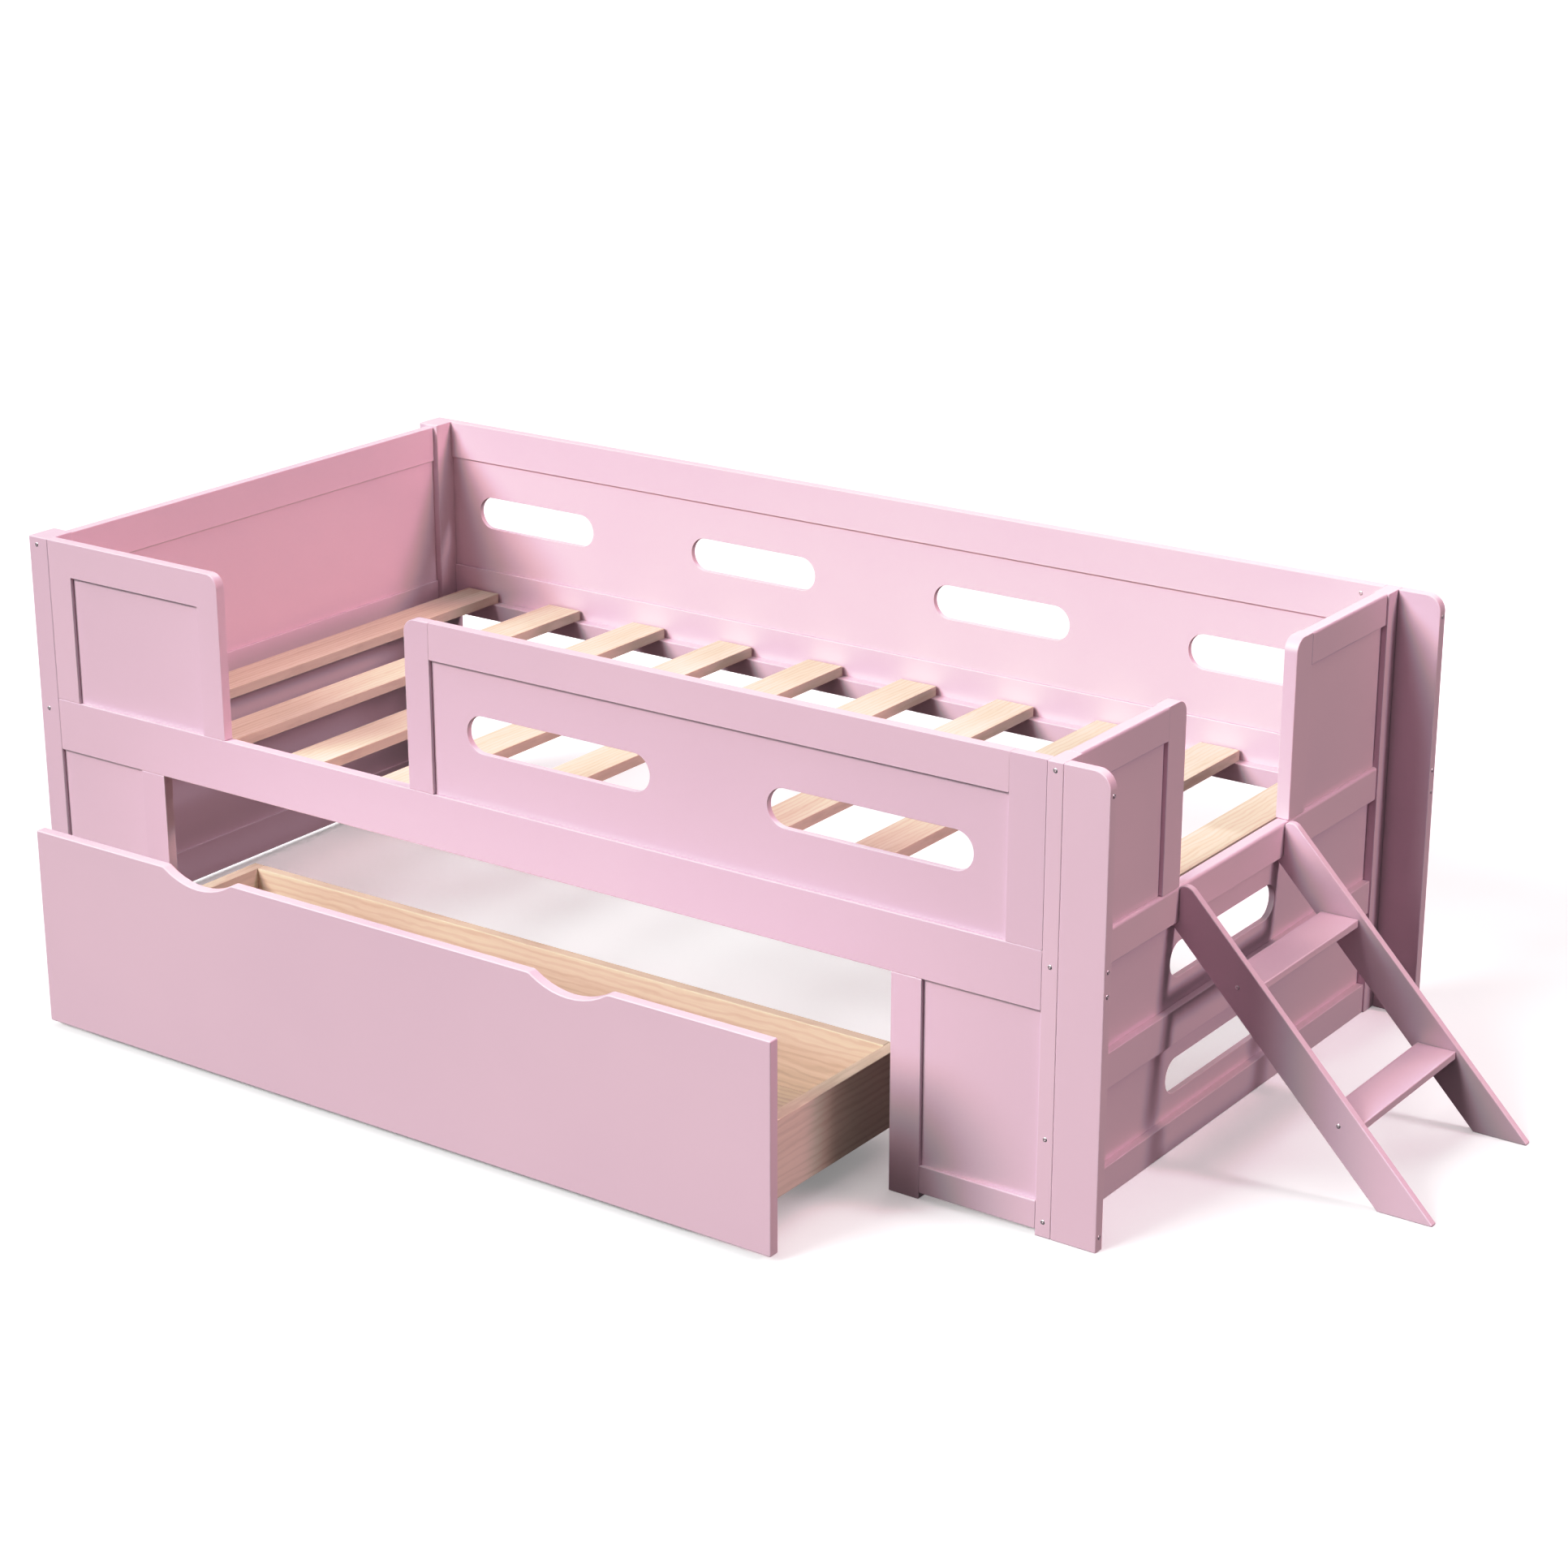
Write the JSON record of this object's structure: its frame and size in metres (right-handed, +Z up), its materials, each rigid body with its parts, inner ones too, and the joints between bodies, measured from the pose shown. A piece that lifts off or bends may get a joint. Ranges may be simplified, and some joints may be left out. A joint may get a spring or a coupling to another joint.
{
  "type": "toddler bed",
  "caption": "Low bed for small children with framed guards, round-ended slots, a slatted base, an end ladder and a wide rolling drawer shown pulled out.",
  "frame": {"origin": "On the floor, at the middle of the whole outline at rest: between the left posts and the ladder's feet along X, between the pulled-out drawer's front and the back boards along Y.", "axes": "+X along the bed from its plain end to its ladder end, +Y from the drawer front to the back, +Z up"},
  "size_m": [2.402, 1.3159, 0.705],
  "materials": {
    "pink_paint": "satin paint over wood",
    "natural_wood": "bare planed softwood",
    "zinc_steel": "bright zinc",
    "wheel_plastic": "matte"
  },
  "bodies": {
    "bed": {"front_left_post": "pink_paint", "back_left_post": "pink_paint", "left_end_top_rail": "pink_paint", "left_end_upper_panel": "pink_paint", "left_end_middle_rail": "pink_paint", "left_end_lower_panel": "pink_paint", "left_end_bottom_rail": "pink_paint", "front_rail": "pink_paint", "left_guard_frame": "pink_paint", "left_guard_panel": "pink_paint", "right_guard_stile": "pink_paint", "right_guard_top_rail": "pink_paint", "right_guard_end_stile": "pink_paint", "right_guard_panel": "pink_paint", "left_apron_stile": "pink_paint", "left_apron_panel": "pink_paint", "left_apron_rail": "pink_paint", "right_apron_stile": "pink_paint", "right_apron_panel": "pink_paint", "right_apron_rail": "pink_paint", "back_top_rail": "pink_paint", "back_panel": "pink_paint", "back_bottom_rail": "pink_paint", "end_front_stile": "pink_paint", "end_back_stile": "pink_paint", "end_bed_rail": "pink_paint", "end_middle_rail": "pink_paint", "end_bottom_rail": "pink_paint", "end_upper_panel": "pink_paint", "end_lower_panel": "pink_paint", "end_guard_front_rail": "pink_paint", "end_guard_front_panel": "pink_paint", "end_guard_front_stile": "pink_paint", "end_guard_rear_rail": "pink_paint", "end_guard_rear_panel": "pink_paint", "end_guard_rear_stile": "pink_paint", "front_wing": "pink_paint", "back_wing": "pink_paint", "front_ledge": "pink_paint", "back_ledge": "pink_paint", "slats": "natural_wood", "ladder_front_stringer": "pink_paint", "ladder_rear_stringer": "pink_paint", "ladder_upper_tread": "pink_paint", "ladder_lower_tread": "pink_paint", "frame_screws": "zinc_steel", "ladder_screws": "zinc_steel"},
    "drawer": {"drawer_front": "pink_paint", "drawer_left_side": "natural_wood", "drawer_right_side": "natural_wood", "drawer_back": "natural_wood", "drawer_bottom": "natural_wood", "caster_brackets": "zinc_steel", "caster_axles": "zinc_steel", "drawer_screws": "zinc_steel"},
    "wheel_front_left": {"wheel_front_left": "wheel_plastic"},
    "wheel_front_right": {"wheel_front_right": "wheel_plastic"},
    "wheel_back_left": {"wheel_back_left": "wheel_plastic"},
    "wheel_back_right": {"wheel_back_right": "wheel_plastic"}
  },
  "joints": [
    {"name": "drawer_slide", "type": "slide", "parent": "bed", "child": "drawer", "axis": [0, -1, 0], "range_m": [-0.285, 0.09]},
    {"name": "wheel_front_left_spin", "type": "hinge", "parent": "drawer", "child": "wheel_front_left", "pos_m": [-0.785, -0.5945, 0.017], "axis": [1, 0, 0], "range_deg": [-970, 310]},
    {"name": "wheel_front_right_spin", "type": "hinge", "parent": "drawer", "child": "wheel_front_right", "pos_m": [0.3735, -0.5945, 0.017], "axis": [1, 0, 0], "range_deg": [-970, 310]},
    {"name": "wheel_back_left_spin", "type": "hinge", "parent": "drawer", "child": "wheel_back_left", "pos_m": [-0.785, -0.2845, 0.017], "axis": [1, 0, 0], "range_deg": [-970, 310]},
    {"name": "wheel_back_right_spin", "type": "hinge", "parent": "drawer", "child": "wheel_back_right", "pos_m": [0.3735, -0.2845, 0.017], "axis": [1, 0, 0], "range_deg": [-970, 310]}
  ],
  "couplings": [
    {"joint": "wheel_front_left_spin", "follows": "drawer_slide", "rad_per_m": 58.824},
    {"joint": "wheel_front_right_spin", "follows": "drawer_slide", "rad_per_m": 58.824},
    {"joint": "wheel_back_left_spin", "follows": "drawer_slide", "rad_per_m": 58.824},
    {"joint": "wheel_back_right_spin", "follows": "drawer_slide", "rad_per_m": 58.824}
  ]
}
